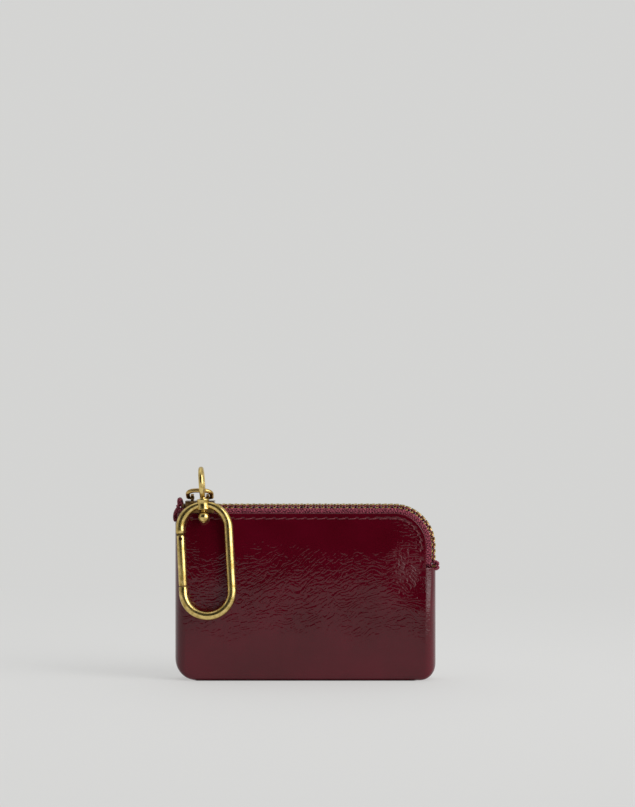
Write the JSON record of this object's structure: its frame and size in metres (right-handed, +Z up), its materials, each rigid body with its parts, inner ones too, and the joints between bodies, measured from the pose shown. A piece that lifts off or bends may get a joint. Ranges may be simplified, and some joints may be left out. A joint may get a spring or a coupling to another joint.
{
  "type": "zip coin pouch",
  "caption": "Small patent leather coin and card pouch with a zip along its top and round one corner, and a spring-gate clip on a swivel hung from the zip slider.",
  "frame": {"origin": "bottom centre of the whole object's box, just behind the middle of the pouch's flat base", "axes": "+X along the zip from its slider towards the rounded corner, +Y from the front with the clip to the back, +Z up"},
  "size_m": [0.1114, 0.024, 0.0898],
  "materials": {
    "patent_leather": "glossy crinkled patent leather, dark burgundy",
    "lining": "matt woven lining, dull burgundy",
    "zip_tape": "woven polyester tape, dark burgundy",
    "thread": "twisted thread, dark burgundy",
    "antique_brass": "polished antique brass with darker hollows",
    "spring_steel": "plain spring steel"
  },
  "bodies": {
    "pouch": {"front_panel": "patent_leather", "back_panel": "patent_leather", "front_lining": "lining", "back_lining": "lining", "zip_tape_back": "zip_tape", "zip_tape_back_end": "zip_tape", "zip_tape_front_end": "zip_tape", "zip_tape_front_low": "zip_tape", "zip_teeth_back": "antique_brass", "zip_teeth_front_end": "antique_brass", "zip_top_stop_front": "antique_brass", "zip_top_stop_back": "antique_brass", "zip_bottom_stop": "antique_brass", "zip_end_tab_left": "zip_tape", "zip_end_tab_right": "zip_tape", "topstitch_back": "thread", "topstitch_front_left": "thread"},
    "mouth_flap": {"mouth_flap_panel": "patent_leather", "mouth_flap_lining": "lining", "zip_tape_front": "zip_tape", "zip_teeth_front": "antique_brass", "topstitch_front": "thread"},
    "slider": {"zip_slider_body": "antique_brass", "zip_slider_lower_plate": "antique_brass"},
    "bail": {"slider_bail": "antique_brass"},
    "clip": {"carabiner_frame": "antique_brass", "gate_pin": "antique_brass"},
    "gate": {"carabiner_gate": "antique_brass", "gate_spring": "spring_steel", "gate_plunger": "spring_steel"},
    "eye": {"swivel_eye": "antique_brass"}
  },
  "joints": [
    {"name": "mouth_open", "type": "hinge", "parent": "pouch", "child": "mouth_flap", "pos_m": [-0.0375, 0.00155, 0.0719], "axis": [0.9693, 0, -0.246], "range_deg": [0, 25], "stiffness_Nm_per_rad": 0.02},
    {"name": "zip_slide", "type": "slide", "parent": "pouch", "child": "slider", "axis": [1, 0, 0], "range_m": [0, 0.075]},
    {"name": "bail_swing", "type": "hinge", "parent": "slider", "child": "bail", "pos_m": [-0.04525, 0.00305, 0.0764], "axis": [-1, 0, 0], "range_deg": [0, 90]},
    {"name": "clip_swing", "type": "hinge", "parent": "bail", "child": "clip", "pos_m": [-0.0442, -0.00345, 0.0831], "axis": [-1, 0, 0], "range_deg": [0, 150]},
    {"name": "eye_swivel", "type": "hinge", "parent": "clip", "child": "eye", "pos_m": [-0.04365, -0.00458, 0.0739], "axis": [0.0593, -0.1219, -0.9908], "range_deg": [-25, 25]},
    {"name": "gate_open", "type": "hinge", "parent": "clip", "child": "gate", "pos_m": [-0.05288, -0.00636, 0.05949], "axis": [0, -0.9925, 0.1221], "range_deg": [0, 30], "stiffness_Nm_per_rad": 0.01, "springref_deg": -17.19}
  ]
}
